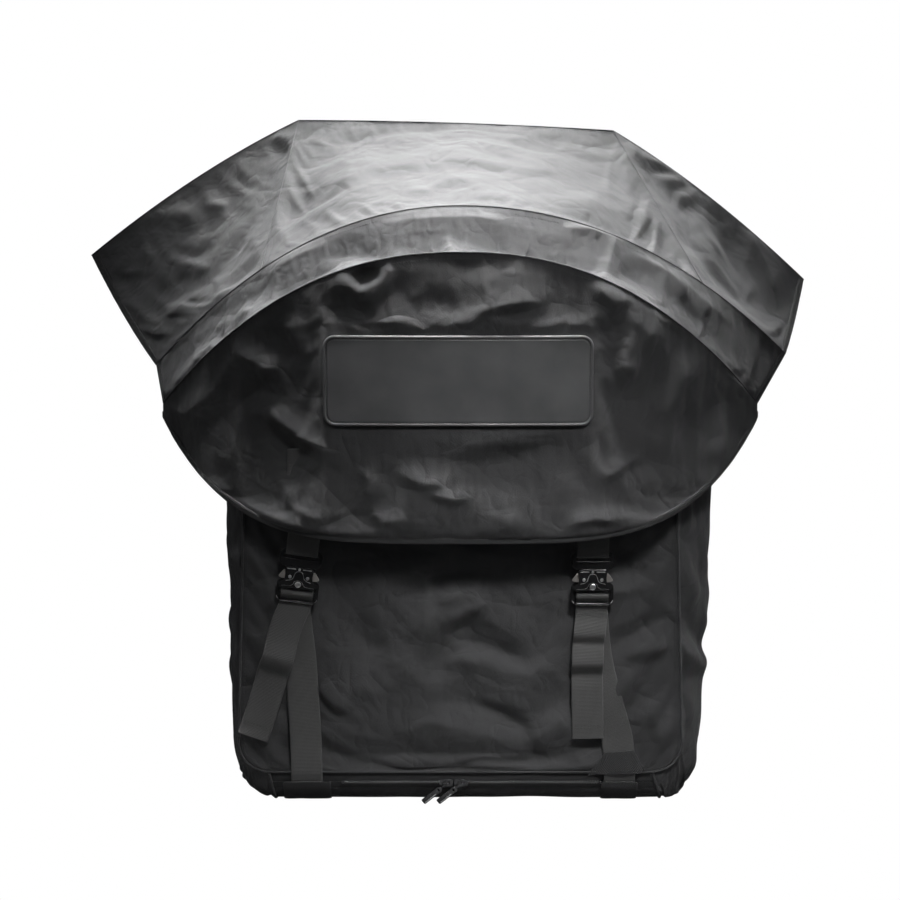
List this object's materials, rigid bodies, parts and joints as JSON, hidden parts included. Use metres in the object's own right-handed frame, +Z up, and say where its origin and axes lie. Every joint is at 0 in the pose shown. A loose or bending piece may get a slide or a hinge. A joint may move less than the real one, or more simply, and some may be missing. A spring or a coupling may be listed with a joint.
{
  "type": "spare wheel bag",
  "caption": "Canvas bag that hangs over a vehicle's spare wheel, with a hooded lid held down by two webbing straps with metal buckles, and a zipped strip along the base.",
  "frame": {"origin": "middle of the flat base, on the surface that the bag stands on", "axes": "+Z up, +Y from the front to the back, +X to the right as seen from the front"},
  "size_m": [0.9116, 0.3273, 0.813],
  "materials": {
    "canvas": "waxed black canvas with a fine weave",
    "binding_tape": "black ribbed binding tape",
    "webbing": "black woven webbing",
    "patch": "smooth dark grey PVC",
    "zip_teeth": "black moulded teeth",
    "zip_metal": "black lacquered metal",
    "buckle_black": "black anodised metal, semi-gloss",
    "lever_metal": "grey satin metal",
    "bright_metal": "bright satin metal"
  },
  "bodies": {
    "bag": {"front_panel": "canvas", "side_gusset_left": "canvas", "side_gusset_right": "canvas", "base_panel": "canvas", "back_panel": "canvas", "lid_flap": "canvas", "lid_gusset": "canvas", "lid_top": "canvas", "lid_wing_left": "canvas", "lid_wing_right": "canvas", "lid_hem_binding": "binding_tape", "wing_binding_left": "binding_tape", "wing_binding_right": "binding_tape", "front_piping": "binding_tape", "zip_tape_upper": "binding_tape", "zip_tape_lower": "binding_tape", "strap_left": "webbing", "strap_right": "webbing", "lid_strap_left": "webbing", "lid_strap_right": "webbing", "base_loop_left": "webbing", "base_loop_right": "webbing", "patch": "patch", "zip_teeth": "zip_teeth", "zip_stop_left": "zip_metal", "zip_stop_right": "zip_metal", "buckle_plate_left": "buckle_black", "buckle_cover_left": "buckle_black", "buckle_bar_left": "buckle_black", "buckle_screw_left": "bright_metal", "buckle_rivet_left_left": "bright_metal", "buckle_rivet_left_right": "bright_metal", "buckle_plate_right": "buckle_black", "buckle_cover_right": "buckle_black", "buckle_bar_right": "buckle_black", "buckle_screw_right": "bright_metal", "buckle_rivet_right_left": "bright_metal", "buckle_rivet_right_right": "bright_metal"},
    "slider_left": {"zip_slider_left": "zip_metal"},
    "pull_left": {"zip_pull_left": "zip_metal"},
    "slider_right": {"zip_slider_right": "zip_metal"},
    "pull_right": {"zip_pull_right": "zip_metal"},
    "tongue_left": {"buckle_tongue_left": "buckle_black"},
    "lever_left_left": {"buckle_lever_left_left": "lever_metal"},
    "lever_left_right": {"buckle_lever_left_right": "lever_metal"},
    "tongue_right": {"buckle_tongue_right": "buckle_black"},
    "lever_right_left": {"buckle_lever_right_left": "lever_metal"},
    "lever_right_right": {"buckle_lever_right_right": "lever_metal"}
  },
  "joints": [
    {"name": "zip_slide_left", "type": "slide", "parent": "bag", "child": "slider_left", "axis": [-1, 0, 0], "range_m": [0, 0.114]},
    {"name": "pull_swing_left", "type": "hinge", "parent": "slider_left", "child": "pull_left", "pos_m": [-0.017, -0.14707, 0.029], "axis": [-1, 0, 0], "range_deg": [0, 150]},
    {"name": "zip_slide_right", "type": "slide", "parent": "bag", "child": "slider_right", "axis": [1, 0, 0], "range_m": [0, 0.158]},
    {"name": "pull_swing_right", "type": "hinge", "parent": "slider_right", "child": "pull_right", "pos_m": [0.001, -0.14707, 0.029], "axis": [-1, 0, 0], "range_deg": [0, 150]},
    {"name": "tongue_pull_left", "type": "slide", "parent": "bag", "child": "tongue_left", "axis": [0.1288, 0, 0.9917], "range_m": [0, 0.024], "deforming": ["lid_strap_left"]},
    {"name": "lever_press_left_left", "type": "slide", "parent": "bag", "child": "lever_left_left", "axis": [0.9917, 0, -0.1288], "range_m": [0, 0.003], "stiffness_N_per_m": 900},
    {"name": "lever_press_left_right", "type": "slide", "parent": "bag", "child": "lever_left_right", "axis": [-0.9917, 0, 0.1288], "range_m": [0, 0.003], "stiffness_N_per_m": 900},
    {"name": "tongue_pull_right", "type": "slide", "parent": "bag", "child": "tongue_right", "axis": [0, 0, 1], "range_m": [0, 0.024], "deforming": ["lid_strap_right"]},
    {"name": "lever_press_right_left", "type": "slide", "parent": "bag", "child": "lever_right_left", "axis": [1, 0, 0], "range_m": [0, 0.003], "stiffness_N_per_m": 900},
    {"name": "lever_press_right_right", "type": "slide", "parent": "bag", "child": "lever_right_right", "axis": [-1, 0, 0], "range_m": [0, 0.003], "stiffness_N_per_m": 900}
  ]
}
